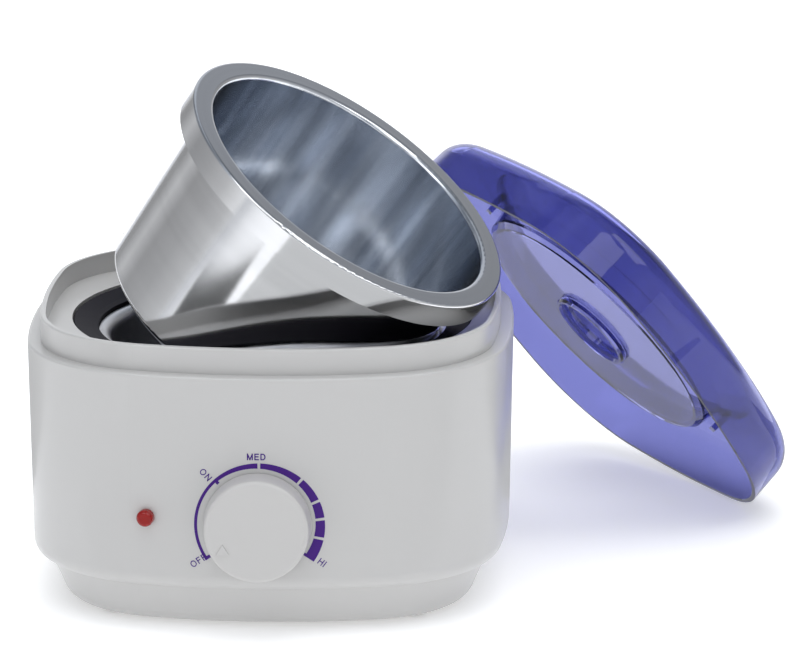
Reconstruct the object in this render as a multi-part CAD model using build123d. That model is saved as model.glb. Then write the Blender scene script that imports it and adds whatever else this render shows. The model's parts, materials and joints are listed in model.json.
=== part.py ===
"""Counter-top wax warmer: rounded square housing, heated bowl, lift-out pot, lift-off lid, thermostat knob.

Millimetres, +Z up. The origin is on the surface that the feet stand on, under the middle of the housing.
The front, with the knob and the lamp, faces -Y. The pot stands tipped in the mouth of the heated bowl, and
the lid leans on the rear right corner of the housing with one corner on the table.
"""

from build123d import *
from math import asin, degrees, sqrt
import os

os.makedirs("parts", exist_ok=True)

# ---- housing outline: a square with four bulging sides and round corners ----
HALF_WIDTH = 92.5
HALF_DEPTH = 89.4
FRONT_RADIUS = 206.0
SIDE_RADIUS = 340.0
CORNER_RADIUS = 56.0

# ---- housing heights, walls and insets from the outline ----
FOOT_HEIGHT = 1.5
SEAM_Z = 17.9
SHOULDER_Z = 100.9
DECK_Z = 102.8
COLLAR_Z = 110.8
WALL = 2.5
DRAFT = 1.5
COLLAR_INSET = 5.0
COLLAR_WALL = 2.0
SEAM_INSET = 7.5
BASE_INSET = 14.5
SPIGOT_INSET = 10.5
SPIGOT_WALL = 2.0
RIM_INSETS = (32.0, 34.5)
FIT_GAP = 0.3

# ---- heated bowl and the black ring that carries it ----
RING_RADIUS = 76.5
RING_HOLE_RADIUS = 72.0
LEDGE_Z = 99.9
LIP_RADIUS = 66.5
LIP_SEAT_Z = 96.4
LIP_ROLL = 4.3
BOWL_MOUTH_RADIUS = 61.9
BOWL_FOOT_RADIUS = 60.3
BOWL_MOUTH_Z = 98.0
BOWL_FLOOR_Z = 28.5
BOWL_WALL = 1.2
BAND_Z = (42.0, 70.0)
BAND_WALL = 2.2
WRAP_WALL = 3.6
SPLIT_ANGLE = 45.0
BAND_LUG_RADII = (63.7, 75.4)
BAND_BOLT_X = 71.3

# ---- wax pot ----
POT_RIM_RADIUS = 69.3
POT_TOP_RADIUS = 61.3
POT_FOOT_RADIUS = 58.8
POT_DEPTH = 74.9
POT_WALL = 1.2
SKIRT_DROP = 8.55
RIM_TOP = 1.5
POT_CENTRE = (29.3, -8.9, 155.9)
POT_TILT = 35.75
POT_AZIMUTH = -19.5

# ---- lid ----
LID_INSET = 7.5
LID_DRAFT = 1.1
LID_HEIGHT = 25.3
LID_WALL = 1.9
LID_EDGE_RADIUS = 11.4
DISH_RADIUS = 57.7
DISH_FLOOR_Z = 6.0
DISH_MOUTH_Z = 17.2
VENT_RADIUS = 15.6
LUG_ANGLE = 144.0
LUG_REACH = 61.5
LUG_Z = 10.5
LID_CENTRE = (117.8, 104.1, 67.4)
LID_TILT = 51.33
LID_AZIMUTH = 31.58
LID_SPIN = 5.8

# ---- controls on the front ----
DIAL_Z = 44.5
KNOB_RADIUS = 20.2
KNOB_FACE_RADIUS = 19.4
KNOB_BACK_Y = -89.3
KNOB_FACE_Y = -98.6
POINTER_ANGLE = 211.0
PAD_Y = -84.0
SHAFT_RADIUS = 3.0
SHAFT_GAP = 0.05
BUSH_RADIUS = 3.5
LAMP_X = -41.8
LAMP_Z = 45.9
LAMP_RADIUS = 2.9
LENS_RADIUS = 3.2
LAMP_LENGTH = 13.0
BLADE_X = 9.0
BLADE_Y = (PAD_Y + 8.9, PAD_Y + 9.7)
BLADE_Z = DIAL_Z - 21.0

# ---- rear inlet, fasteners and inside parts ----
INLET_Z = 34.0
INLET_RADIUS = 5.2
SCREW_RADIUS = 1.5
POST_RADIUS = 3.4
SCREW_HEAD_RADIUS = 2.4
POSTS = [(sx * 57.6, sy * 54.8) for sx in (1, -1) for sy in (1, -1)]
FOOT_RADIUS = 6.0
FEET = [(sx * 38.0, sy * 36.0) for sx in (1, -1) for sy in (1, -1)]
STRAP_POST_X = 79.0
STRAP_POST_RADIUS = 4.2
STRAP_SCREW_RADIUS = 1.2
STRAP_Z = 25.1
STRAP_THICK = 1.2
TERMINAL_X = (-20.0, 20.0)
TERMINAL_Y = (36.0, 52.0)
TERMINAL_Z = (FOOT_HEIGHT + WALL, 17.0)
POLE_XS = (-12.0, 0.0, 12.0)
POLE_Z = 9.5
POLE_END_Y = 39.0
FUSE_X = -(BOWL_FOOT_RADIUS + BOWL_WALL + 2.6)
FUSE_Z = 34.0
FUSE_HALF = 7.0
WIRE_RADIUS = 1.1
THIN_WIRE = 0.6

# The arcs of every inset outline share these centres, so only the radii change with the inset.
FRONT_CENTRE = Vector(0, FRONT_RADIUS - HALF_DEPTH)
SIDE_CENTRE = Vector(HALF_WIDTH - SIDE_RADIUS, 0)


def corner_centre():
    """Centre of the front right corner arc, tangent inside both the front arc and the side arc."""
    reach_front = FRONT_RADIUS - CORNER_RADIUS
    reach_side = SIDE_RADIUS - CORNER_RADIUS
    between = SIDE_CENTRE - FRONT_CENTRE
    span = between.length
    along = (span**2 + reach_front**2 - reach_side**2) / (2 * span)
    across = sqrt(reach_front**2 - along**2)
    unit = between / span
    return FRONT_CENTRE + unit * along + Vector(-unit.Y, unit.X) * across


CORNER_CENTRE = corner_centre()
TO_FRONT = (CORNER_CENTRE - FRONT_CENTRE).normalized()
TO_SIDE = (CORNER_CENTRE - SIDE_CENTRE).normalized()
TO_CORNER = (TO_FRONT + TO_SIDE).normalized()


def outline(inset, z=0.0):
    """Wire of the housing outline at height z, moved in by inset all round."""
    side = SIDE_CENTRE + TO_SIDE * (SIDE_RADIUS - inset)
    front = FRONT_CENTRE + TO_FRONT * (FRONT_RADIUS - inset)
    corner = CORNER_CENTRE + TO_CORNER * (CORNER_RADIUS - inset)

    def at(point, sx, sy):
        return Vector(sx * point.X, sy * point.Y, z)

    edges = []
    for sx, sy in ((1, 1), (-1, 1), (-1, -1), (1, -1)):
        edges.append(Edge.make_three_point_arc(at(side, sx, sy), at(corner, sx, sy), at(front, sx, sy)))
    for s in (1, -1):
        side_mid = Vector(s * (HALF_WIDTH - inset), 0, z)
        front_mid = Vector(0, -s * (HALF_DEPTH - inset), z)
        edges.append(Edge.make_three_point_arc(at(side, s, 1), side_mid, at(side, s, -1)))
        edges.append(Edge.make_three_point_arc(at(front, 1, s), front_mid, at(front, -1, s)))
    return Wire(edges)


def prism(inset, z_low, z_high, inset_high=None):
    """Solid between two heights with the housing outline, straight or drafted."""
    top = inset if inset_high is None else inset_high
    return Solid.make_loft([outline(inset, z_low), outline(top, z_high)], ruled=True)


def turned(*points, rounds=()):
    """Solid turned about Z from a closed profile of (radius, height) points, with some corners rounded."""
    face = make_face(Polyline(*points, close=True))
    for place, radius in rounds:
        face = fillet(face.vertices().sort_by_distance(place)[0], radius)
    return revolve(Plane.XZ * face, Axis.Z)


def disc(radius, z_low, z_high, x=0.0, y=0.0):
    return Pos(x, y, (z_low + z_high) / 2) * Cylinder(radius, z_high - z_low)


def rod_y(radius, y_low, y_high, x=0.0, z=0.0):
    """Round bar along Y."""
    return Pos(x, (y_low + y_high) / 2, z) * Rot(90, 0, 0) * Cylinder(radius, y_high - y_low)


def block(x, y, z):
    """Box from three (low, high) pairs."""
    size = (x[1] - x[0], y[1] - y[0], z[1] - z[0])
    return Pos(sum(x) / 2, sum(y) / 2, sum(z) / 2) * Box(*size)


def edges_at(shape, z, tolerance=0.05):
    """Edges that lie flat at height z."""
    found = []
    for edge in shape.edges():
        box = edge.bounding_box()
        if abs(box.min.Z - z) < tolerance and abs(box.max.Z - z) < tolerance:
            found.append(edge)
    return found


def write(name, *solids):
    shape = solids[0] if len(solids) == 1 else Compound(children=list(solids))
    shape.label = name
    export_step(shape, f"parts/{name}.step")


def bowl_radius(z):
    """Inner radius of the heated bowl's tapered wall at height z."""
    share = (z - BOWL_FLOOR_Z) / (BOWL_MOUTH_Z - BOWL_FLOOR_Z)
    return BOWL_FOOT_RADIUS + share * (BOWL_MOUTH_RADIUS - BOWL_FOOT_RADIUS)


def wall_y(x, z, inset=0.0):
    """Y of the drafted front face at a place on it, or of a surface further in by inset."""
    draft = DRAFT * (SHOULDER_Z - z) / (SHOULDER_Z - SEAM_Z)
    radius = FRONT_RADIUS - inset - draft
    return FRONT_CENTRE.Y - sqrt(radius**2 - x**2)


def outer_shell():
    """White moulded housing: drafted walls, rounded lower edge, shoulder, deck and lid collar."""
    body = prism(DRAFT, SEAM_Z, SHOULDER_Z, 0)
    body = fillet(edges_at(body, SEAM_Z), SEAM_INSET - DRAFT)
    body = fillet(edges_at(body, SHOULDER_Z), 1.0)
    hollow = prism(DRAFT + WALL, SEAM_Z + WALL, SHOULDER_Z - WALL, WALL)
    hollow = fillet(edges_at(hollow, SEAM_Z + WALL), SEAM_INSET - WALL)
    body = body + prism(COLLAR_INSET, SHOULDER_Z - 1, COLLAR_Z)
    body = fillet(edges_at(body, COLLAR_Z), 0.8)
    body = body - hollow - prism(SPIGOT_INSET, SEAM_Z - 1, SEAM_Z + WALL + 0.5)
    body = body - prism(COLLAR_INSET + COLLAR_WALL, DECK_Z, COLLAR_Z + 1)
    body = body - disc(RING_HOLE_RADIUS, SHOULDER_Z - 2 * WALL, DECK_Z + 1)
    body = body - disc(RING_RADIUS + FIT_GAP, LEDGE_Z, DECK_Z + 1)
    top = SHOULDER_Z - WALL
    for x, y in POSTS:
        post = disc(POST_RADIUS, SEAM_Z, top + 0.2, x, y)
        body = body + post - disc(SCREW_RADIUS + 0.05, SEAM_Z - 1, SEAM_Z + 16, x, y)
    for x in (STRAP_POST_X, -STRAP_POST_X):
        post = disc(STRAP_POST_RADIUS, STRAP_Z + STRAP_THICK, top + 0.2, x)
        body = body + post - disc(STRAP_SCREW_RADIUS + 0.05, STRAP_Z, STRAP_Z + 14, x)
    pad = block((-15, 15), (wall_y(0, DIAL_Z, WALL) - 1.6, PAD_Y), (DIAL_Z - 17, DIAL_Z + 17))
    body = body + pad
    body = body - rod_y(BUSH_RADIUS + 0.2, -HALF_DEPTH - 5, PAD_Y + 5, 0, DIAL_Z)
    body = body - at_lamp(rod_y(LAMP_RADIUS + 0.1, -5, 12))
    return body - rod_y(INLET_RADIUS, 70, HALF_DEPTH + 5, 0, INLET_Z)


def base_cover():
    """White base pan: rounded edge, standing rim, spigot that locates it in the housing, screw posts."""
    pan = prism(BASE_INSET, FOOT_HEIGHT, SEAM_Z, SEAM_INSET)
    pan = fillet(edges_at(pan, FOOT_HEIGHT), 7.0)
    outside = SPIGOT_INSET + FIT_GAP
    hollow = prism(BASE_INSET + WALL, FOOT_HEIGHT + WALL, SEAM_Z + 1, outside + SPIGOT_WALL)
    hollow = fillet(edges_at(hollow, FOOT_HEIGHT + WALL), 5.0)
    spigot = prism(outside, SEAM_Z - 3, SEAM_Z + 2.2) - prism(outside + SPIGOT_WALL, SEAM_Z - 4, SEAM_Z + 3)
    rim = prism(RIM_INSETS[0], 0, FOOT_HEIGHT + 0.5) - prism(RIM_INSETS[1], -1, FOOT_HEIGHT)
    pan = pan - hollow + spigot + rim
    for x, y in POSTS:
        pan = pan + disc(POST_RADIUS, FOOT_HEIGHT + 1, SEAM_Z, x, y)
        head = disc(SCREW_HEAD_RADIUS + 0.3, 0, FOOT_HEIGHT + 7, x, y)
        pan = pan - disc(SCREW_RADIUS + 0.2, 0, SEAM_Z + 1, x, y) - head
    for x, y in FEET:
        pan = pan - disc(FOOT_RADIUS, 0, FOOT_HEIGHT + 0.6, x, y)
    return pan


def rubber_feet():
    feet = []
    for x, y in FEET:
        foot = disc(FOOT_RADIUS, 0, FOOT_HEIGHT + 0.6, x, y)
        feet.append(fillet(edges_at(foot, 0), 0.6))
    return feet


def screw(radius, head_radius, head_height, length, x, y, z):
    """Pan head screw pointing up, its head's underside at height z, with a cross slot in the head."""
    body = disc(head_radius, z - head_height, z, x, y) + disc(radius, z - 0.1, z + length, x, y)
    low = z - head_height
    for half_x, half_y in ((head_radius * 0.6, 0.35), (0.35, head_radius * 0.6)):
        body = body - block((x - half_x, x + half_x), (y - half_y, y + half_y), (low - 1, low + 0.9))
    return body


def nut(across_flats, bore, z_low, z_high, x=0.0, y=0.0):
    hexagon = RegularPolygon(across_flats / 2, 6, major_radius=False)
    blank = Pos(x, y, z_low) * extrude(hexagon, z_high - z_low)
    return blank - disc(bore, z_low - 1, z_high + 1, x, y)


def insulating_ring():
    """Black heat-proof ring: dished top, skirt through the deck, inner seat for the bowl's lip."""
    skirt = RING_HOLE_RADIUS - FIT_GAP
    seat = BOWL_MOUTH_RADIUS + BOWL_WALL + 1.1
    outer = [(skirt, 92.0), (skirt, 96.7), (skirt - 1.4, 96.7), (skirt - 1.4, 98.2), (skirt, 98.2)]
    top = [(skirt, LEDGE_Z), (RING_RADIUS, LEDGE_Z), (RING_RADIUS, 101.6), (RING_RADIUS - 0.5, 102.1)]
    slope = [(74.6, 101.7), (72.0, 100.9), (69.4, 100.1), (LIP_RADIUS + 0.3, 99.5)]
    inner = [(LIP_RADIUS + 0.3, LIP_SEAT_Z), (seat, LIP_SEAT_Z), (seat, 92.0)]
    return turned(*outer, *top, *slope, *inner)


def ring_retainer():
    """Split steel spring ring that snaps in the skirt's groove, under the deck."""
    ring = disc(74.4, 96.8, 98.1) - disc(RING_HOLE_RADIUS - FIT_GAP - 1.3, 96, 99)
    return ring - block((60, 80), (-5, 5), (96, 99))


def heating_bowl():
    """Drawn aluminium bowl: rolled lip, tapered wall, round bottom corner and a welded stud."""
    floor_outer = BOWL_FLOOR_Z - BOWL_WALL
    mouth = (BOWL_MOUTH_RADIUS, BOWL_MOUTH_Z)
    corner = (BOWL_FOOT_RADIUS, BOWL_FLOOR_Z)
    outer_corner = (bowl_radius(floor_outer) + BOWL_WALL, floor_outer)
    neck = bowl_radius(BOWL_MOUTH_Z - LIP_ROLL) + BOWL_WALL
    outside = [outer_corner, (neck, BOWL_MOUTH_Z - LIP_ROLL), (neck + 0.9, LIP_SEAT_Z)]
    lip = [(LIP_RADIUS, LIP_SEAT_Z), (LIP_RADIUS, BOWL_MOUTH_Z)]
    rounds = ((mouth, LIP_ROLL), (corner, 9.0), (outer_corner, 10.2))
    bowl = turned(mouth, corner, (0, BOWL_FLOOR_Z), (0, floor_outer), *outside, *lip, rounds=rounds)
    return bowl + disc(2.5, 17.5, floor_outer + 0.2)


def bowl_spacer():
    """Ceramic washer between the bowl and the strap."""
    return disc(9, STRAP_Z + STRAP_THICK, BOWL_FLOOR_Z - BOWL_WALL) - disc(2.6, 20, 30)


def bowl_strap():
    """Steel strap across the housing that ties the bowl down on its ring."""
    z = (STRAP_Z, STRAP_Z + STRAP_THICK)
    strap = block((-STRAP_POST_X - 6, STRAP_POST_X + 6), (-7, 7), z)
    holes = disc(2.6, 20, 30) + disc(1.7, 20, 30, STRAP_POST_X) + disc(1.7, 20, 30, -STRAP_POST_X)
    return strap - holes


def heater_cone(z_low, z_high, gap, wall):
    """Tapered sleeve that follows the bowl's wall, gap away from it."""
    low = bowl_radius(z_low) + BOWL_WALL + gap
    high = bowl_radius(z_high) + BOWL_WALL + gap
    return turned((low, z_low), (high, z_high), (high + wall, z_high), (low + wall, z_low))


def at_split(shape):
    """Carries a shape made on the +X axis round to the heater band's split."""
    return Rot(0, 0, SPLIT_ANGLE) * shape


def heating_band():
    """Mica band heater with two clamping lugs at its split."""
    band = heater_cone(BAND_Z[0], BAND_Z[1], 0.05, BAND_WALL)
    band = band - at_split(block((50, 80), (-3.5, 3.5), (30, 90)))
    for side in (1, -1):
        y = sorted((side * 3.5, side * 4.7))
        lug = block(BAND_LUG_RADII, y, (48, 64)) - rod_y(1.7, -10, 10, BAND_BOLT_X, 56)
        band = band + at_split(lug)
    return band


def insulation_wrap():
    """Glass fibre blanket round the heater band, open at the lugs."""
    wrap = heater_cone(BAND_Z[0] - 3, BAND_Z[1] + 3, 0.3 + BAND_WALL, WRAP_WALL)
    return wrap - at_split(block((50, 90), (-7, 7), (30, 90)))


def band_bolt():
    bolt = rod_y(1.5, -4.7, 12, BAND_BOLT_X, 56) + rod_y(2.8, -7.0, -4.7, BAND_BOLT_X, 56)
    return at_split(bolt)


def band_nut():
    hexagon = extrude(RegularPolygon(2.75, 6, major_radius=False), 2.4)
    blank = Pos(BAND_BOLT_X, 4.7, 56) * Rot(-90, 0, 0) * hexagon
    return at_split(blank - rod_y(1.5, 0, 12, BAND_BOLT_X, 56))


def thermostat_body():
    """Ceramic bodied thermostat with blade terminals at its back and its threaded bush at the front."""
    z = (DIAL_Z - 14, DIAL_Z + 14)
    body = block((-13, 13), (PAD_Y, PAD_Y + 9.5), z)
    body = fillet(body.edges().filter_by(Axis.Y), 2.0)
    body = body + rod_y(BUSH_RADIUS, wall_y(0, DIAL_Z) - 2.6, PAD_Y + 0.1, 0, DIAL_Z)
    for x in (-BLADE_X, BLADE_X):
        body = body + block((x - 2.4, x + 2.4), BLADE_Y, (BLADE_Z, z[0] + 3))
    return body - rod_y(SHAFT_RADIUS + SHAFT_GAP, -110, PAD_Y + 7, 0, DIAL_Z)


def thermostat_nut():
    face = wall_y(0, DIAL_Z)
    blank = extrude(RegularPolygon(5.0, 6, major_radius=False), 2.2)
    blank = Pos(0, face - 0.1, DIAL_Z) * Rot(90, 0, 0) * blank
    return blank - rod_y(BUSH_RADIUS, -110, -70, 0, DIAL_Z)


def thermostat_shaft():
    """Spindle with a flat where the knob grips it."""
    shaft = rod_y(SHAFT_RADIUS, KNOB_FACE_Y + 2.2, PAD_Y + 6.8, 0, DIAL_Z)
    flat = block((-4, 4), (KNOB_FACE_Y, KNOB_BACK_Y - 3.5), (DIAL_Z + 1.45, DIAL_Z + 5))
    return shaft - flat


def control_knob():
    """Plain round knob: tapered cap, hub with a flat, and a raised arrow that points at the dial."""
    depth = KNOB_BACK_Y - KNOB_FACE_Y
    shell_wall = 1.8
    cap = turned((0, 0), (KNOB_RADIUS, 0), (KNOB_FACE_RADIUS, depth), (0, depth))
    cap = fillet(edges_at(cap, depth), 1.6)
    deep = depth - 2
    cavity = turned((0, -1), (KNOB_RADIUS - shell_wall, -1), (KNOB_FACE_RADIUS - shell_wall, deep), (0, deep))
    hub = disc(SHAFT_RADIUS + 2.2, 3.8, depth - 1)
    bore = disc(SHAFT_RADIUS, -1, depth - 2.2) - block((-4, 4), (1.5, 5), (0, depth))
    knob = cap - cavity + hub - bore
    arrow = make_face(Polyline((17.3, 0), (13.1, 2.3), (13.1, -2.3), close=True))
    arrow = Rot(0, 0, POINTER_ANGLE) * extrude(arrow, 0.5)
    knob = knob + Pos(0, 0, depth - 0.1) * arrow
    return Pos(0, KNOB_BACK_Y, DIAL_Z) * Rot(90, 0, 0) * knob


def at_lamp(shape):
    """Carries a shape made on the Y axis, with the wall's outer face at y = 0, to the lamp's place."""
    turn = degrees(asin(LAMP_X / FRONT_RADIUS))
    return Pos(LAMP_X, wall_y(LAMP_X, LAMP_Z), LAMP_Z) * Rot(0, 0, turn) * shape


def lamp_point(x, y):
    """Place beside and behind the lamp's own axis."""
    return at_lamp(Pos(x, y, 0)).position


def indicator_lens():
    """Red lens: domed head outside, hollow shank through the wall."""
    head = rod_y(LENS_RADIUS, -4.0, -0.2)
    head = fillet(head.edges().sort_by(Axis.Y)[0], 1.8)
    lens = head + rod_y(LAMP_RADIUS, -0.5, 12)
    return at_lamp(lens - rod_y(2.4, -0.6, 13))


def lens_clip():
    """Push-on spring washer that holds the lens from inside."""
    return at_lamp(rod_y(6.0, WALL + 0.2, WALL + 0.8) - rod_y(LAMP_RADIUS, 0, 9))


def neon_lamp():
    """Small glass bulb inside the lens, with its base behind."""
    bulb = rod_y(2.2, 0.4, LAMP_LENGTH)
    return at_lamp(fillet(bulb.edges().sort_by(Axis.Y)[0], 1.4))


def thermal_fuse():
    """Axial one-shot fuse in its sleeve, lying along the foot of the bowl."""
    fuse = rod_y(2.0, -FUSE_HALF, FUSE_HALF, FUSE_X, FUSE_Z)
    return fillet(fuse.edges().filter_by(GeomType.CIRCLE), 0.5)


def fuse_clip():
    """Steel clip that presses the fuse against the bowl."""
    outer = block((FUSE_X - 2.7, FUSE_X + 2.2), (-2.5, 2.5), (FUSE_Z - 2.7, FUSE_Z + 2.7))
    inner = block((FUSE_X - 2.05, FUSE_X + 3), (-3, 3), (FUSE_Z - 2.05, FUSE_Z + 2.05))
    return outer - inner


def terminal_block():
    """Three pole terminal block on the floor of the base, with wire holes along Y."""
    body = block(TERMINAL_X, TERMINAL_Y, TERMINAL_Z)
    for x in POLE_XS:
        body = body - rod_y(1.5, TERMINAL_Y[0] - 1, TERMINAL_Y[0] + 5, x, POLE_Z)
        body = body - rod_y(1.5, TERMINAL_Y[1] - 5, TERMINAL_Y[1] + 1, x, POLE_Z)
        body = body - disc(1.9, 12.5, 18, x, 44)
    for x in (-6.0, 6.0):
        body = body - block((x - 1, x + 1), (TERMINAL_Y[0] - 1, TERMINAL_Y[1] + 1), (13, 18))
    return body


def terminal_screws():
    screws = []
    for x in POLE_XS:
        body = disc(1.8, 12.5, 15.8, x, 44) - block((x - 2, x + 2), (43.7, 44.3), (15, 17))
        screws.append(body)
    return screws


def cord_bush():
    """Inlet bush in the rear wall, flanged outside, with a groove for the wall and an open bore."""
    wall_out = -wall_y(0, INLET_Z)
    bush = rod_y(INLET_RADIUS - 0.05, wall_out - WALL - 1.5, wall_out + 0.5, 0, INLET_Z)
    bush = bush + rod_y(7.2, wall_out + 0.3, wall_out + 2.4, 0, INLET_Z)
    bush = fillet(bush.edges().sort_by(Axis.Y)[-1], 0.9)
    return bush - rod_y(3.6, 70, 100, 0, INLET_Z)


def band_terminal(side):
    """Where a wire meets the heater band's lower edge, on one side of its split."""
    radius = bowl_radius(BAND_Z[0]) + BOWL_WALL + 0.05 + BAND_WALL / 2
    return at_split(Pos(radius, side * 5.4, BAND_Z[0])).position


def wire(points, bend, radius=WIRE_RADIUS):
    """Round wire along straight runs joined by tangent arcs."""
    path = FilletPolyline(*points, radius=bend)
    start = Plane(origin=path @ 0, z_dir=path % 0)
    return sweep(start * Circle(radius), path=path)


def thermostat_lead():
    """Live wire from the terminal block to the thermostat's left blade."""
    y = sum(BLADE_Y) / 2
    route = [(POLE_XS[0], POLE_END_Y, POLE_Z), (POLE_XS[0], -40, POLE_Z), (-BLADE_X, -66, POLE_Z),
             (-BLADE_X, y, 18), (-BLADE_X, y, BLADE_Z)]
    return wire(route, 4)


def heater_lead():
    """Wire from the thermostat's right blade to the heater band."""
    y = sum(BLADE_Y) / 2
    end = band_terminal(-1)
    route = [(BLADE_X, y, BLADE_Z), (BLADE_X, y, 18), (BLADE_X + 3, -64, 12), (end.X, -12, 12),
             (end.X, end.Y, 12), (end.X, end.Y, BAND_Z[0])]
    return wire(route, 4)


def fuse_lead():
    """Wire from the heater band, over the terminal block, to the rear end of the fuse."""
    end = band_terminal(1)
    route = [(end.X, end.Y, BAND_Z[0]), (end.X, end.Y, 21), (-10, 64, 21), (FUSE_X, 38, 21),
             (FUSE_X, 22, FUSE_Z), (FUSE_X, FUSE_HALF, FUSE_Z)]
    return wire(route, 4)


def neutral_lead():
    """Wire from the front end of the fuse, across the base, to the middle pole."""
    route = [(FUSE_X, -FUSE_HALF, FUSE_Z), (FUSE_X, -22, FUSE_Z), (-50, -34, 14.5), (0, -16, 14.5),
             (0, 18, POLE_Z), (0, POLE_END_Y, POLE_Z)]
    return wire(route, 4)


def lamp_leads():
    """Two thin wires from the lamp: one to the thermostat's right blade, one to the right hand pole."""
    x, y = BLADE_X - 1.9, sum(BLADE_Y) / 2
    live = [lamp_point(-1, LAMP_LENGTH), lamp_point(-1, LAMP_LENGTH + 3), (-39, -67.5, 20),
            (-10, -67.5, 17.5), (x, y, 17.5), (x, y, BLADE_Z)]
    neutral = [lamp_point(1, LAMP_LENGTH), lamp_point(1, LAMP_LENGTH + 3), (-36, -66, 24), (-30, -60, 18.6),
               (POLE_XS[2], -30, 18.6), (POLE_XS[2], 20, POLE_Z), (POLE_XS[2], POLE_END_Y, POLE_Z)]
    return [wire(live, 1.6, THIN_WIRE), wire(neutral, 1.6, THIN_WIRE)]


def wax_pot():
    """Spun aluminium pot: wide flat rim with a skirt, tapered wall, flat bottom with a round corner."""
    mouth = (POT_TOP_RADIUS - 1.1, RIM_TOP)
    edge = (POT_RIM_RADIUS, RIM_TOP)
    under = RIM_TOP - 1.0
    inner = POT_RIM_RADIUS - 1.0
    skirt = [(POT_RIM_RADIUS, -SKIRT_DROP), (inner, -SKIRT_DROP), (inner, under)]
    neck = (POT_TOP_RADIUS + 0.1, under)
    foot = (POT_FOOT_RADIUS, -POT_DEPTH)
    corner = (POT_FOOT_RADIUS - POT_WALL, -POT_DEPTH + POT_WALL)
    floor = [(0, -POT_DEPTH), (0, -POT_DEPTH + POT_WALL)]
    rounds = ((mouth, 1.9), (edge, 1.1), (neck, 0.9), (foot, 2.6), (corner, 3.6))
    pot = turned(mouth, edge, *skirt, neck, foot, *floor, corner, rounds=rounds)
    return Pos(*POT_CENTRE) * Rot(0, 0, POT_AZIMUTH) * Rot(0, POT_TILT, 0) * pot


def lid():
    """Clear lid: rounded square skirt, round central dish that dips into the pot's mouth, vent hole."""
    top = LID_HEIGHT
    outer = prism(LID_INSET, 0, top, LID_INSET + LID_DRAFT)
    outer = fillet(edges_at(outer, top), LID_EDGE_RADIUS)
    inner = prism(LID_INSET + LID_WALL, -1, top - LID_WALL, LID_INSET + LID_WALL + LID_DRAFT)
    inner = fillet(edges_at(inner, top - LID_WALL), LID_EDGE_RADIUS - LID_WALL)
    rise = DISH_RADIUS + 1.5
    crest = 68.0
    under = [(0, DISH_FLOOR_Z), (DISH_RADIUS - 2, DISH_FLOOR_Z), (DISH_RADIUS, DISH_FLOOR_Z + 2)]
    under += [(rise, DISH_MOUTH_Z - 1.4), (crest + 0.6, top - LID_WALL), (crest + 0.6, top + 9), (0, top + 9)]
    floor = DISH_FLOOR_Z + LID_WALL
    inside = DISH_RADIUS - LID_WALL
    over = [(0, floor), (inside - 2, floor), (inside, floor + 2)]
    over += [(rise - LID_WALL, DISH_MOUTH_Z), (crest - 1.2, top), (crest - 1.2, top + 9), (0, top + 9)]
    shell = outer - (inner - turned(*under)) - turned(*over)
    vent = VENT_RADIUS
    bead = [(vent, 4.4), (vent + 0.7, 3.4), (vent + 1.9, 3.4), (vent + 2.6, 4.4), (vent + 2.2, 6.5)]
    collar = turned(*bead, (vent + 2.2, 8.5), (vent, 8.5))
    shell = shell - disc(vent, 0, 20) + collar
    for angle in (LUG_ANGLE, LUG_ANGLE + 180):
        lug = block((LUG_REACH, LUG_REACH + 2.4), (-2.6, 2.6), (LUG_Z, LUG_Z + 9))
        shell = shell + Rot(0, 0, angle) * lug
    return Pos(*LID_CENTRE) * Rot(0, 0, LID_AZIMUTH) * Rot(0, LID_TILT, 0) * Rot(0, 0, LID_SPIN) * shell


def base_screws():
    return [screw(SCREW_RADIUS, SCREW_HEAD_RADIUS, 2.0, 18, x, y, FOOT_HEIGHT + 7) for x, y in POSTS]


def strap_screws():
    return [screw(STRAP_SCREW_RADIUS, 2.8, 1.8, 12, x, 0, STRAP_Z) for x in (STRAP_POST_X, -STRAP_POST_X)]


PARTS = {
    "outer_shell": outer_shell,
    "base_cover": base_cover,
    "rubber_feet": rubber_feet,
    "base_screws": base_screws,
    "insulating_ring": insulating_ring,
    "ring_retainer": ring_retainer,
    "heating_bowl": heating_bowl,
    "bowl_spacer": bowl_spacer,
    "bowl_strap": bowl_strap,
    "strap_screws": strap_screws,
    "heating_band": heating_band,
    "insulation_wrap": insulation_wrap,
    "band_bolt": band_bolt,
    "band_nut": band_nut,
    "thermostat_body": thermostat_body,
    "thermostat_nut": thermostat_nut,
    "thermostat_shaft": thermostat_shaft,
    "control_knob": control_knob,
    "indicator_lens": indicator_lens,
    "lens_clip": lens_clip,
    "neon_lamp": neon_lamp,
    "thermal_fuse": thermal_fuse,
    "fuse_clip": fuse_clip,
    "terminal_block": terminal_block,
    "terminal_screws": terminal_screws,
    "cord_bush": cord_bush,
    "thermostat_lead": thermostat_lead,
    "heater_lead": heater_lead,
    "fuse_lead": fuse_lead,
    "neutral_lead": neutral_lead,
    "lamp_leads": lamp_leads,
    "wax_pot": wax_pot,
    "lid": lid,
}

for name, make in PARTS.items():
    made = make()
    write(name, *made) if isinstance(made, list) else write(name, made)
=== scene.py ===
"""Looks for the wax warmer: moulded white housing, polished pot, clear violet lid and the printed dial."""

import json
from math import cos, degrees, pi, radians, sin

import bmesh
import bpy
from mathutils import Euler, Matrix, Vector


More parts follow.
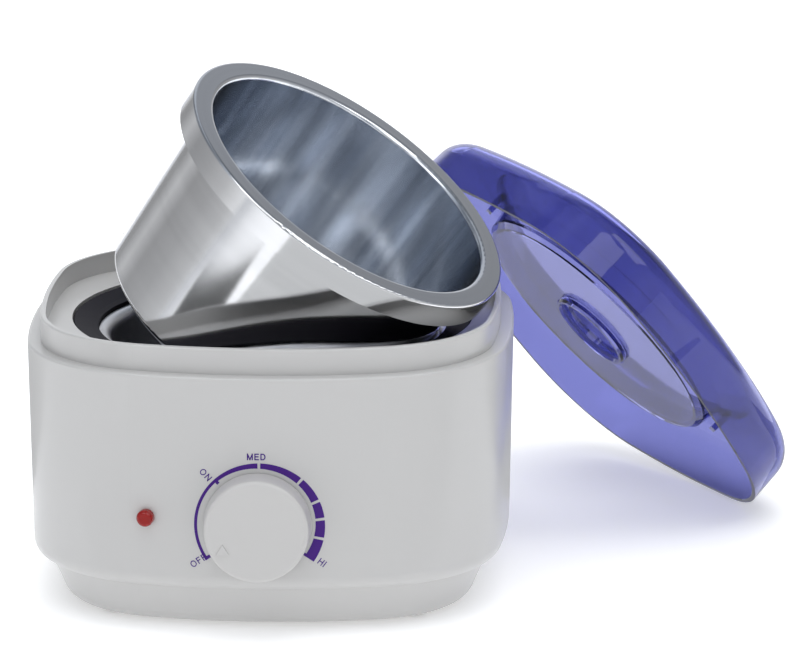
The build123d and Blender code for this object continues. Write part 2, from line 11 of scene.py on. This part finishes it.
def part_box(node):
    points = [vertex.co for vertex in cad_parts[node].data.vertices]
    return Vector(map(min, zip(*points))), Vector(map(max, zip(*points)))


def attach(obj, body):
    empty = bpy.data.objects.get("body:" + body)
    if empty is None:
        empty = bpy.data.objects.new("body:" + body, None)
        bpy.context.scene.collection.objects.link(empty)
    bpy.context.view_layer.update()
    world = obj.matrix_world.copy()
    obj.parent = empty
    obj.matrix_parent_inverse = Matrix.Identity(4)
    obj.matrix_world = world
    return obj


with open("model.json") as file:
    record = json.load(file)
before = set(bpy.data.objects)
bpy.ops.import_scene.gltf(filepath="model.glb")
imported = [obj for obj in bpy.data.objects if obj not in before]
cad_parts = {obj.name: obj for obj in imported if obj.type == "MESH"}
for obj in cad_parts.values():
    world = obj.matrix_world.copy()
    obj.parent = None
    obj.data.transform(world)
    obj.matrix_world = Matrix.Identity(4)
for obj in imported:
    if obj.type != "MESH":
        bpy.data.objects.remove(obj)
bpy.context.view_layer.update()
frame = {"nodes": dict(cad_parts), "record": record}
scene = bpy.context.scene
MM = 0.001

# ---- camera: angles in degrees, lens and sensor in millimetres ----
CAMERA_AZIMUTH = 2.6
CAMERA_ELEVATION = 14.44
CAMERA_DISTANCE = 2.1938
CAMERA_TARGET = Vector((48.9, 0, 97.9)) * MM
CAMERA_LENS = 257.34
CAMERA_SENSOR = 36
CAMERA_REACH = 50

# ---- stage: lengths in metres, light in watts ----
FLOOR_HALF = 9.0
FLOOR_GLOW = 0.33
SOFT_LIGHTS = (  # name, place, aim, size, power
    ("top_softbox", (0.1, -0.2, 1.9), (0, 0, 0), (2.4, 2.0), 31),
    ("front_softbox", (-0.3, -2.6, 0.9), (0, 0, 0.1), (3.2, 2.0), 12),
    ("right_softbox", (2.0, -1.2, 1.2), (0, 0, 0.1), (1.6, 1.6), 2),
    ("rear_softbox", (0.2, 2.3, 1.5), (0, 0, 0.1), (2.6, 1.6), 25),
)
WINDOWS = (("left", (-46, -12)), ("middle", (2, 32)), ("right", (44, 72)))
WINDOW_DISTANCE = 1.1
WINDOW_HEIGHTS = (0.7, 2.4)
WINDOW_TONE = 2.2
DARK_FLAG_TONE = 0.10
FRONT_TABLE_TONE = 0.72
REAR_TABLE_TONE = 0.55
TABLE_HEIGHT = 1.0 * MM
WALLS = (  # bearing in degrees, 0 in front and growing to the right, and the tone of the wall there
    (-180, 0.95), (-162, 0.95), (-152, 0.35), (-145, 0.35), (-130, 0.60), (-114, 0.38), (-94, 0.45),
    (-77, 0.60), (-62, 1.0), (-56, 0.95), (-36, 0.60), (0, 0.60), (60, 0.75), (120, 0.45), (150, 0.35),
    (170, 0.95), (180, 0.95))
SKY = ((0.0, (1, 1, 1)), (0.58, (1, 1, 1)), (0.72, (0.60, 0.63, 0.68)), (1.0, (0.40, 0.44, 0.50)))

# ---- the pot as the CAD places it; its middle surfaces split its inside from its outside ----
POT_CENTRE = Vector((29.3, -8.9, 155.9)) * MM
POT_TURN = Euler((0, radians(35.75), radians(-19.5)))
POT_MID_RADIUS = 60.7 * MM
POT_TAPER = 0.0334
POT_MID_FLOOR = -74.3 * MM

# ---- dial print on the front wall, round the knob; angles in degrees, anticlockwise from the right ----
DIAL_SHIFT_X, DIAL_SHIFT_Z = 0.6 * MM, -0.5 * MM
DIAL_OUTER = 24.4 * MM
DIAL_START, DIAL_ON, DIAL_END = 214.5, 133.0, -34.5
DIAL_GAPS = (90.0, 49.0, 24.0, 6.6, -12.0)
DIAL_GAP = 1.0 * MM
DIAL_GAP_DEPTH = 1.5 * MM
LINE_WIDTH = 1.15 * MM
BLOCK_WIDTH = 1.35
BLOCK_WIDENING = 2.75
ARC_STEP = 1.5
ARC_ROWS = 4
TICK_HALF = 1.6
TICK_OVERLAP = 0.1 * MM
TICKS = (  # name, angle, turn of its middle from there, length in millimetres
    ("off", DIAL_START, -TICK_HALF, 1.6), ("on", DIAL_ON, 0.0, 1.0), ("hi", DIAL_END, TICK_HALF, 1.5))
PRINT_LIFT = 0.07 * MM
RAY_RUN_UP = 50 * MM
WORDS = (  # letters, angle and radius in millimetres of the middle, turn
    ("OFF", 211.5, 26.9, 35.0), ("ON", 135.5, 27.9, -47.0), ("MED", 92.0, 26.9, 0.0),
    ("HI", -31.5, 27.2, -37.0))
WORD_HEIGHT = 2.55 * MM
LETTER_GAP = 0.36
STROKE = 0.17
BOLD_STROKE = 0.21
MITRE_LIMIT = 0.4

# ---- surface detail ----
NOISE_LOW, NOISE_HIGH = 0.1, 0.9
ORANGE_PEEL = 0.006 * MM
METAL_GRAIN = 0.01 * MM
LATHE_RINGS = 0.012 * MM
FLOW_MARKS = 0.05 * MM
LENS_RIPPLE = 0.02 * MM
WEAVE = 0.3 * MM
# painted reflection: the dark and light tones of the radial streaks inside the pot
PAINTED_REFLECTION_STREAKS = ((0.35, (0.56, 0.59, 0.64)), (0.65, (0.90, 0.92, 0.95)))
SATIN_GLOSS = (0.06, 0.22)


# ---------------------------------------------------------------- materials

def add_node(tree, kind, **values):
    """New shader node with its properties, or its inputs by name, set."""
    node = tree.nodes.new(kind)
    for name, value in values.items():
        if hasattr(node, name):
            setattr(node, name, value)
        else:
            node.inputs[name.replace("_", " ")].default_value = value
    return node


def new_material(name, roughness, **inputs):
    """Material with one Principled shader; returns the material, its node tree and the shader."""
    material = bpy.data.materials.new(name)
    material.use_nodes = True
    tree = material.node_tree
    shader = tree.nodes["Principled BSDF"]
    shader.inputs["Roughness"].default_value = roughness
    for key, value in inputs.items():
        shader.inputs[key.replace("_", " ")].default_value = value
    return material, tree, shader


def speckle(tree, scale, detail=3.0, vector=None):
    """Noise value over the object's own coordinates, or over another vector."""
    noise = add_node(tree, "ShaderNodeTexNoise", Scale=scale, Detail=detail)
    if vector is None:
        vector = add_node(tree, "ShaderNodeTexCoord").outputs["Object"]
    tree.links.new(vector, noise.inputs["Vector"])
    return noise.outputs["Fac"]


def ramp(tree, value, stops):
    """Colour ramp from (position, colour) stops."""
    node = add_node(tree, "ShaderNodeValToRGB")
    elements = node.color_ramp.elements
    while len(elements) > 1:
        elements.remove(elements[-1])
    elements[0].position, elements[0].color = stops[0][0], (*stops[0][1], 1)
    for place, colour in stops[1:]:
        elements.new(place).color = (*colour, 1)
    tree.links.new(value, node.inputs["Fac"])
    return node.outputs["Color"]


def span(tree, value, low, high):
    """Maps noise to a range, which it fills between its own usual low and high."""
    node = add_node(tree, "ShaderNodeMapRange")
    node.inputs["From Min"].default_value = NOISE_LOW
    node.inputs["From Max"].default_value = NOISE_HIGH
    node.inputs["To Min"].default_value = low
    node.inputs["To Max"].default_value = high
    tree.links.new(value, node.inputs["Value"])
    return node.outputs["Result"]


def bump(tree, shader, height, distance, strength):
    """Relief from a height value, over the shader's own normal."""
    node = add_node(tree, "ShaderNodeBump", Strength=strength, Distance=distance)
    tree.links.new(height, node.inputs["Height"])
    tree.links.new(node.outputs["Normal"], shader.inputs["Normal"])


def tones(tree, shader, colour, spread, scale):
    """Base colour that drifts a little round its mean."""
    low = [c * (1 - spread) for c in colour]
    high = [min(1, c * (1 + spread)) for c in colour]
    tone = ramp(tree, speckle(tree, scale), ((NOISE_LOW, low), (NOISE_HIGH, high)))
    tree.links.new(tone, shader.inputs["Base Color"])


def drifting_gloss(tree, shader, scale, low, high):
    """Roughness that drifts between two values."""
    tree.links.new(span(tree, speckle(tree, scale), low, high), shader.inputs["Roughness"])


def moulded(name, colour, roughness, spread=0.012, **inputs):
    """Moulded plastic, rubber or print: faint drift in tone and gloss, and a soft orange-peel bump."""
    material, tree, shader = new_material(name, roughness, **inputs)
    tones(tree, shader, colour, spread, scale=18)
    drifting_gloss(tree, shader, 60, roughness * 0.97, roughness * 1.03)
    bump(tree, shader, speckle(tree, scale=160, detail=2), ORANGE_PEEL, strength=0.05)
    return material


def metal(name, colour, roughness):
    """Sheet metal with a fine grain."""
    material, tree, shader = new_material(name, roughness, Metallic=1.0)
    tones(tree, shader, colour, spread=0.05, scale=40)
    drifting_gloss(tree, shader, 120, roughness * 0.8, roughness * 1.25)
    bump(tree, shader, speckle(tree, scale=900, detail=4), METAL_GRAIN, strength=0.2)
    return material


def pot_inside(tree, radius, height):
    """1 inside the pot's wall and above its floor, 0 outside, from the pot's own radius and height."""
    wall = add_node(tree, "ShaderNodeMath", operation="MULTIPLY_ADD")
    tree.links.new(height, wall.inputs[0])
    wall.inputs[1].default_value = POT_TAPER
    wall.inputs[2].default_value = POT_MID_RADIUS
    within = add_node(tree, "ShaderNodeMath", operation="LESS_THAN")
    tree.links.new(radius, within.inputs[0])
    tree.links.new(wall.outputs[0], within.inputs[1])
    above = add_node(tree, "ShaderNodeMath", operation="GREATER_THAN")
    tree.links.new(height, above.inputs[0])
    above.inputs[1].default_value = POT_MID_FLOOR
    both = add_node(tree, "ShaderNodeMath", operation="MULTIPLY")
    tree.links.new(within.outputs[0], both.inputs[0])
    tree.links.new(above.outputs[0], both.inputs[1])
    return both.outputs[0]


def blend(tree, factor, low, high, kind):
    """Mix of two sockets, FLOAT or RGBA."""
    node = add_node(tree, "ShaderNodeMix", data_type=kind)
    tree.links.new(factor, node.inputs["Factor"])
    first, second = (2, 3) if kind == "FLOAT" else (6, 7)
    tree.links.new(low, node.inputs[first])
    tree.links.new(high, node.inputs[second])
    return node.outputs[0 if kind == "FLOAT" else 2]


def spun_metal(name, colour, roughness, centre, turn, strength, reflection_streaks_inside=False):
    """Spun aluminium: fine lathe rings round the piece's own axis; inside the pot, radial streaks of
    painted reflection in its tone, and streaks in its gloss.
    """
    material, tree, shader = new_material(name, roughness, Metallic=1.0)
    place = add_node(tree, "ShaderNodeTexCoord").outputs["Object"]
    own = add_node(tree, "ShaderNodeMapping", vector_type="TEXTURE")
    own.inputs["Location"].default_value = centre
    own.inputs["Rotation"].default_value = turn
    tree.links.new(place, own.inputs["Vector"])
    flat = add_node(tree, "ShaderNodeVectorMath", operation="MULTIPLY")
    flat.inputs[1].default_value = (1, 1, 0)
    tree.links.new(own.outputs["Vector"], flat.inputs[0])
    radius = add_node(tree, "ShaderNodeVectorMath", operation="LENGTH")
    tree.links.new(flat.outputs["Vector"], radius.inputs[0])
    split = add_node(tree, "ShaderNodeSeparateXYZ")
    tree.links.new(own.outputs["Vector"], split.inputs[0])
    rings = add_node(tree, "ShaderNodeCombineXYZ")
    tree.links.new(radius.outputs["Value"], rings.inputs["X"])
    tree.links.new(split.outputs["Z"], rings.inputs["Y"])
    ring_noise = speckle(tree, scale=1800, detail=3, vector=rings.outputs["Vector"])
    wide_noise = speckle(tree, scale=140, detail=2, vector=rings.outputs["Vector"])
    low = [c * 0.93 for c in colour]
    tone = ramp(tree, wide_noise, ((0.35, low), (0.65, colour)))
    cloud = speckle(tree, scale=45, detail=3, vector=own.outputs["Vector"])
    gloss = span(tree, cloud, roughness * 0.75, roughness * 1.3)
    if reflection_streaks_inside:
        inside = pot_inside(tree, radius.outputs["Value"], split.outputs["Z"])
        spoke = add_node(tree, "ShaderNodeVectorMath", operation="NORMALIZE")
        tree.links.new(flat.outputs["Vector"], spoke.inputs[0])
        streak = speckle(tree, scale=5, detail=4, vector=spoke.outputs["Vector"])
        # painted reflection: radial light and dark streaks in the metal's tone inside the pot
        tone = blend(tree, inside, tone, ramp(tree, streak, PAINTED_REFLECTION_STREAKS), "RGBA")
        gloss = blend(tree, inside, gloss, span(tree, streak, *SATIN_GLOSS), "FLOAT")
    tree.links.new(tone, shader.inputs["Base Color"])
    tree.links.new(gloss, shader.inputs["Roughness"])
    bump(tree, shader, ring_noise, LATHE_RINGS, strength)
    return material


def clear_plastic(name, colour, roughness=0.03):
    """Tinted clear plastic with a trace of flow marks."""
    material, tree, shader = new_material(name, roughness, Transmission_Weight=1.0, IOR=1.49)
    shader.inputs["Base Color"].default_value = (*colour, 1)
    drifting_gloss(tree, shader, 25, roughness * 0.5, roughness * 1.5)
    bump(tree, shader, speckle(tree, scale=35, detail=2), FLOW_MARKS, strength=0.08)
    return material


def tinted_lens(name, colour):
    """Cloudy tinted plastic that lets only part of the light through."""
    material, tree, shader = new_material(name, 0.15, Transmission_Weight=0.3, IOR=1.49)
    tones(tree, shader, colour, spread=0.05, scale=90)
    drifting_gloss(tree, shader, 200, 0.1, 0.2)
    bump(tree, shader, speckle(tree, scale=500, detail=2), LENS_RIPPLE, strength=0.1)
    return material


def woven(name, colour):
    """Glass fibre cloth."""
    material, tree, shader = new_material(name, 0.9)
    tones(tree, shader, colour, spread=0.08, scale=300)
    place = add_node(tree, "ShaderNodeTexCoord").outputs["Object"]
    waves = add_node(tree, "ShaderNodeTexWave", Scale=180.0, Distortion=3.0)
    tree.links.new(place, waves.inputs["Vector"])
    bump(tree, shader, waves.outputs["Fac"], WEAVE, strength=0.5)
    return material


MATERIALS = {
    "white_housing": moulded("white_housing", (0.503, 0.498, 0.49), 0.28, 0.003, Coat_Weight=0.2,
                             Coat_Roughness=0.10),
    "white_knob": moulded("white_knob", (0.508, 0.50, 0.49), 0.35, 0.003, Coat_Weight=0.1),
    "black_ring": moulded("black_ring", (0.014, 0.013, 0.018), 0.45, Specular_IOR_Level=0.04),
    "black_rubber": moulded("black_rubber", (0.02, 0.02, 0.02), 0.55),
    "rubber": moulded("rubber", (0.09, 0.09, 0.09), 0.65),
    "ceramic": moulded("ceramic", (0.72, 0.68, 0.58), 0.5),
    "mica": moulded("mica", (0.42, 0.34, 0.22), 0.45),
    "cream_plastic": moulded("cream_plastic", (0.75, 0.70, 0.55), 0.4),
    "live_wire": moulded("live_wire", (0.18, 0.07, 0.03), 0.45),
    "neutral_wire": moulded("neutral_wire", (0.03, 0.08, 0.40), 0.45),
    "thin_wire": moulded("thin_wire", (0.75, 0.75, 0.75), 0.45),
    "steel": metal("steel", (0.55, 0.55, 0.56), 0.32),
    "brass": metal("brass", (0.70, 0.52, 0.25), 0.3),
    "bowl_aluminium": spun_metal("bowl_aluminium", (0.74, 0.74, 0.76), 0.30, (0, 0, 0), Euler(),
                                 strength=0.3),
    # the pot's inside gets painted reflection streaks in its tone
    "pot_aluminium": spun_metal("pot_aluminium", (0.78, 0.785, 0.80), 0.10, POT_CENTRE, POT_TURN,
                                strength=0.12, reflection_streaks_inside=True),
    "glass_fibre": woven("glass_fibre", (0.8, 0.78, 0.7)),
    "clear_lid": clear_plastic("clear_lid", (0.17, 0.18, 0.46)),
    "red_lens": tinted_lens("red_lens", (0.36, 0.006, 0.004)),
    "lamp_glass": clear_plastic("lamp_glass", (0.95, 0.75, 0.6), 0.05),
    "dial_print": moulded("dial_print", (0.052, 0.008, 0.19), 0.4, Specular_IOR_Level=0.2),
}


def dress_nodes():
    """Gives every CAD node the material of its slot."""
    for part in frame["record"]["subparts"]:
        piece = frame["nodes"][part["node"]]
        piece.data.materials.clear()
        piece.data.materials.append(MATERIALS[part["material_slot"]])


# ---------------------------------------------------------------- dial print

shell = frame["nodes"]["outer_shell"]
knob_low, knob_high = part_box("control_knob")
DIAL_X = (knob_low.x + knob_high.x) / 2 + DIAL_SHIFT_X
DIAL_Z = (knob_low.z + knob_high.z) / 2 + DIAL_SHIFT_Z


def on_wall(x, z, lift):
    """Point on the front wall, straight behind (x, z), raised by lift."""
    _, place, normal, _ = shell.ray_cast(Vector((x, knob_low.y - RAY_RUN_UP, z)), Vector((0, 1, 0)))
    return place + normal * lift


def print_piece(name, points, faces):
    """Thin printed skin on the front wall from flat (x, z) points; its edges run down into the wall."""
    mesh = bmesh.new()
    top = [mesh.verts.new(on_wall(x, z, PRINT_LIFT)) for x, z in points]
    for face in faces:
        mesh.faces.new([top[i] for i in face])
    edges = [e for e in mesh.edges if e.is_boundary]
    sunk = bmesh.ops.extrude_edge_only(mesh, edges=edges)["geom"]
    for vert in (v for v in sunk if isinstance(v, bmesh.types.BMVert)):
        vert.co.y += 2 * PRINT_LIFT
    bmesh.ops.recalc_face_normals(mesh, faces=mesh.faces)
    data = bpy.data.meshes.new(name)
    mesh.to_mesh(data)
    mesh.free()
    data.materials.append(MATERIALS["dial_print"])
    piece = bpy.data.objects.new(name, data)
    scene.collection.objects.link(piece)
    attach(piece, "warmer")


def band_width(angle):
    """The dial's line is thin from OFF to ON and swells towards HI."""
    if angle > DIAL_ON:
        return LINE_WIDTH
    share = (DIAL_ON - angle) / (DIAL_ON - DIAL_END)
    return (BLOCK_WIDTH + BLOCK_WIDENING * share) * MM


def arc_piece(name, start, end, outer=DIAL_OUTER, width=band_width):
    """Curved stroke between two angles, in degrees, with its outer edge on a circle."""
    steps = max(2, int(abs(start - end) / ARC_STEP))
    points, faces = [], []
    for i in range(steps + 1):
        angle = start + (end - start) * i / steps
        for j in range(ARC_ROWS):
            radius = outer - width(angle) * j / (ARC_ROWS - 1)
            points.append((DIAL_X + radius * cos(radians(angle)), DIAL_Z + radius * sin(radians(angle))))
    for i in range(steps):
        for j in range(ARC_ROWS - 1):
            a = i * ARC_ROWS + j
            faces.append((a, a + 1, a + ARC_ROWS + 1, a + ARC_ROWS))
    print_piece(name, points, faces)


def dial_arcs():
    """Thin line from OFF to ON, then a band in blocks with even gaps between them."""
    half = degrees(DIAL_GAP / 2 / (DIAL_OUTER - DIAL_GAP_DEPTH))
    arc_piece("dial_line_off_on", DIAL_START, DIAL_ON)
    ends = [DIAL_ON, *DIAL_GAPS, DIAL_END]
    for i, (start, end) in enumerate(zip(ends, ends[1:])):
        a = start - (half if i else 0)
        b = end + (half if end != DIAL_END else 0)
        arc_piece(f"dial_block_{i + 1}", a, b)


def dial_ticks():
    """Short strokes that reach inwards at OFF, ON and HI."""
    for word, angle, turn, length in TICKS:
        middle = angle + turn
        outer = DIAL_OUTER - band_width(angle) + TICK_OVERLAP
        arc_piece(f"dial_tick_{word}", middle + TICK_HALF, middle - TICK_HALF, outer,
                  lambda at, length=length: length * MM)


def bow(centre, radii, start, end, steps=20):
    """Points along part of an ellipse, angles in degrees."""
    turns = [radians(start + (end - start) * i / steps) for i in range(steps + 1)]
    return [(centre[0] + radii[0] * cos(t), centre[1] + radii[1] * sin(t)) for t in turns]


def letter_strokes():
    """Centre lines of the dial's letters in a frame one unit high, each with the letter's width."""
    bar = [(0, 0), (0, 1)]
    ring = bow((0.44, 0.5), (0.44, 0.5), 0, 360, 36)
    back = [(0, 0), *bow((0.3, 0.5), (0.4, 0.5), -90, 90), (0, 1), (0, 0)]
    return {
        "O": (0.88, [ring]),
        "F": (0.56, [bar, [(0, 1), (0.56, 1)], [(0, 0.53), (0.48, 0.53)]]),
        "N": (0.72, [bar, [(0, 1), (0.72, 0)], [(0.72, 0), (0.72, 1)]]),
        "M": (0.84, [bar, [(0, 1), (0.42, 0)], [(0.42, 0), (0.84, 1)], [(0.84, 0), (0.84, 1)]]),
        "E": (0.6, [bar, [(0, 1), (0.6, 1)], [(0, 0.53), (0.54, 0.53)], [(0, 0), (0.6, 0)]]),
        "D": (0.7, [back]),
        "H": (0.68, [bar, [(0.68, 0), (0.68, 1)], [(0, 0.53), (0.68, 0.53)]]),
        "I": (0.0, [bar]),
    }


def stroke_faces(line, stroke):
    """Flat ribbon along a line, with square ends and mitred bends."""
    line = [Vector(p) for p in line]
    closed = (line[0] - line[-1]).length < 1e-6
    runs = [(b - a).normalized() for a, b in zip(line, line[1:])]
    points = []
    for i, place in enumerate(line):
        before = runs[i - 1] if i or closed else runs[i]
        after = runs[i] if i < len(runs) else (runs[0] if closed else runs[-1])
        side = (before + after).normalized().orthogonal()
        reach = stroke / 2 / max(MITRE_LIMIT, side.dot(after.orthogonal()))
        end = Vector((0, 0))
        if not closed and i == 0:
            end = -after * stroke / 2
        if not closed and i == len(line) - 1:
            end = before * stroke / 2
        points += [place + side * reach + end, place - side * reach + end]
    faces = [(2 * i, 2 * i + 1, 2 * i + 3, 2 * i + 2) for i in range(len(runs))]
    return points, faces


def dial_words():
    """The words round the dial, each one piece, with the strokes as ribbons."""
    letters = letter_strokes()
    for word, angle, radius, turn in WORDS:
        stroke = BOLD_STROKE if word == "MED" else STROKE
        height = WORD_HEIGHT / (1 + stroke)
        spacing = LETTER_GAP + stroke / 2
        length = sum(letters[c][0] for c in word) + spacing * (len(word) - 1)
        spin = Matrix.Rotation(radians(turn), 2)
        outwards = Vector((cos(radians(angle)), sin(radians(angle))))
        middle = Vector((DIAL_X, DIAL_Z)) + outwards * radius * MM
        left = -length / 2
        places, ribbons = [], []
        for letter in word:
            width, lines = letters[letter]
            for line in lines:
                flat, faces = stroke_faces(line, stroke)
                ribbons += [[i + len(places) for i in face] for face in faces]
                places += [spin @ ((p + Vector((left, -0.5))) * height) + middle for p in flat]
            left += width + spacing
        print_piece(f"dial_word_{word}", places, ribbons)


# ---------------------------------------------------------------- stage

def make_floor():
    """Pale paper floor that glows enough to stay white."""
    data = bpy.data.meshes.new("floor")
    corners = [(x * FLOOR_HALF, y * FLOOR_HALF, 0) for x, y in ((-1, -1), (1, -1), (1, 1), (-1, 1))]
    data.from_pydata(corners, [], [(0, 1, 2, 3)])
    floor = bpy.data.objects.new("floor", data)
    scene.collection.objects.link(floor)
    material, tree, shader = new_material("floor_paper", 0.9)
    tones(tree, shader, (0.93, 0.93, 0.93), spread=0.005, scale=3)
    shader.inputs["Emission Color"].default_value = (1, 1, 1, 1)
    shader.inputs["Emission Strength"].default_value = FLOOR_GLOW
    data.materials.append(material)


def reflector_card(name, corners, tone):
    """Card that is seen only in reflections."""
    data = bpy.data.meshes.new(name)
    data.from_pydata(corners, [], [(0, 1, 2, 3)])
    card = bpy.data.objects.new(name, data)
    scene.collection.objects.link(card)
    material, tree, shader = new_material(name, 1.0)
    shader.inputs["Base Color"].default_value = (0, 0, 0, 1)
    shader.inputs["Specular IOR Level"].default_value = 0
    shader.inputs["Emission Color"].default_value = (tone * 0.97, tone * 0.985, tone, 1)
    shader.inputs["Emission Strength"].default_value = 1
    data.materials.append(material)
    card.visible_camera = False
    card.visible_diffuse = False
    card.visible_shadow = False
    card.visible_transmission = False


def standing_corners(azimuths, distances, heights):
    """Corners of an upright card; azimuth 0 is the front and grows to the right."""
    edges = []
    for azimuth, distance, (low, high) in zip(azimuths, distances, heights):
        x, y = sin(radians(azimuth)) * distance, -cos(radians(azimuth)) * distance
        edges.append(((x, y, low), (x, y, high)))
    (a, b), (d, c) = edges
    return [a, d, c, b]


def table_corners(x, y):
    """Corners of a card lying just above the floor, over a span in x and one in y."""
    z = TABLE_HEIGHT
    return [(x[0], y[0], z), (x[1], y[0], z), (x[1], y[1], z), (x[0], y[1], z)]


def reflector_cards():
    """Dark flag front left, bright windows up front, and greyer table tops before and behind the object."""
    flag = standing_corners((-64, -41), (0.60, 0.42), ((0.0, 0.10), (0.0, 0.035)))
    reflector_card("dark_flag", flag, DARK_FLAG_TONE)
    for name, azimuths in WINDOWS:
        pane = standing_corners(azimuths, [WINDOW_DISTANCE] * 2, [WINDOW_HEIGHTS] * 2)
        reflector_card(f"window_{name}", pane, WINDOW_TONE)
    reflector_card("front_table", table_corners((-0.22, 0.55), (-0.80, -0.11)), FRONT_TABLE_TONE)
    reflector_card("rear_table", table_corners((-0.40, 0.40), (0.10, 0.80)), REAR_TABLE_TONE)


def soft_light(name, place, aim, size, power):
    """Softbox that lights surfaces but isn't mirrored in them."""
    light = bpy.data.lights.new(name, "AREA")
    light.shape = "RECTANGLE"
    light.size, light.size_y = size
    light.energy = power
    lamp = bpy.data.objects.new(name, light)
    lamp.location = place
    lamp.rotation_euler = (Vector(aim) - Vector(place)).to_track_quat("-Z", "Y").to_euler()
    lamp.visible_glossy = False
    scene.collection.objects.link(lamp)


def studio_dome():
    """World for light and reflections: walls by bearing, darker overhead; white for the camera."""
    world = bpy.data.worlds.new("studio")
    scene.world = world
    world.use_nodes = True
    tree = world.node_tree
    place = add_node(tree, "ShaderNodeTexCoord").outputs["Generated"]
    split = add_node(tree, "ShaderNodeSeparateXYZ")
    tree.links.new(place, split.inputs[0])
    minus = add_node(tree, "ShaderNodeMath", operation="MULTIPLY")
    minus.inputs[1].default_value = -1
    tree.links.new(split.outputs["Y"], minus.inputs[0])
    around = add_node(tree, "ShaderNodeMath", operation="ARCTAN2")
    tree.links.new(split.outputs["X"], around.inputs[0])
    tree.links.new(minus.outputs[0], around.inputs[1])
    turn = add_node(tree, "ShaderNodeMapRange")
    turn.inputs["From Min"].default_value = -pi
    turn.inputs["From Max"].default_value = pi
    tree.links.new(around.outputs[0], turn.inputs["Value"])

    stops = [((bearing + 180) / 360, (tone * 0.97, tone * 0.98, tone)) for bearing, tone in WALLS]
    ring = ramp(tree, turn.outputs["Result"], stops)
    height = add_node(tree, "ShaderNodeMapRange")
    height.inputs["From Min"].default_value = -1
    height.inputs["From Max"].default_value = 1
    tree.links.new(split.outputs["Z"], height.inputs["Value"])
    sky = ramp(tree, height.outputs["Result"], SKY)
    both = add_node(tree, "ShaderNodeMix", data_type="RGBA", blend_type="MULTIPLY")
    both.inputs["Factor"].default_value = 1
    tree.links.new(ring, both.inputs["A"])
    tree.links.new(sky, both.inputs["B"])
    seen = add_node(tree, "ShaderNodeMix", data_type="RGBA")
    tree.links.new(add_node(tree, "ShaderNodeLightPath").outputs["Is Camera Ray"], seen.inputs["Factor"])
    tree.links.new(both.outputs["Result"], seen.inputs["A"])
    seen.inputs["B"].default_value = (1, 1, 1, 1)
    tree.links.new(seen.outputs["Result"], tree.nodes["Background"].inputs["Color"])


def make_camera():
    """Camera on its azimuth and elevation from the target, which it faces."""
    azimuth, elevation = radians(CAMERA_AZIMUTH), radians(CAMERA_ELEVATION)
    back = Vector((sin(azimuth) * cos(elevation), -cos(azimuth) * cos(elevation), sin(elevation)))
    data = bpy.data.cameras.new("camera")
    data.sensor_width = CAMERA_SENSOR
    data.lens = CAMERA_LENS
    data.clip_end = CAMERA_REACH
    camera = bpy.data.objects.new("camera", data)
    camera.location = CAMERA_TARGET + back * CAMERA_DISTANCE
    camera.rotation_euler = back.to_track_quat("Z", "Y").to_euler()
    scene.collection.objects.link(camera)
    scene.camera = camera


dress_nodes()
dial_arcs()
dial_ticks()
dial_words()
make_floor()
reflector_cards()
for softbox in SOFT_LIGHTS:
    soft_light(*softbox)
studio_dome()
make_camera()
scene.view_settings.view_transform = "Standard"
scene.cycles.caustics_reflective = False
scene.cycles.sample_clamp_indirect = 3
scene.cycles.max_bounces = 16
scene.cycles.glossy_bounces = 10
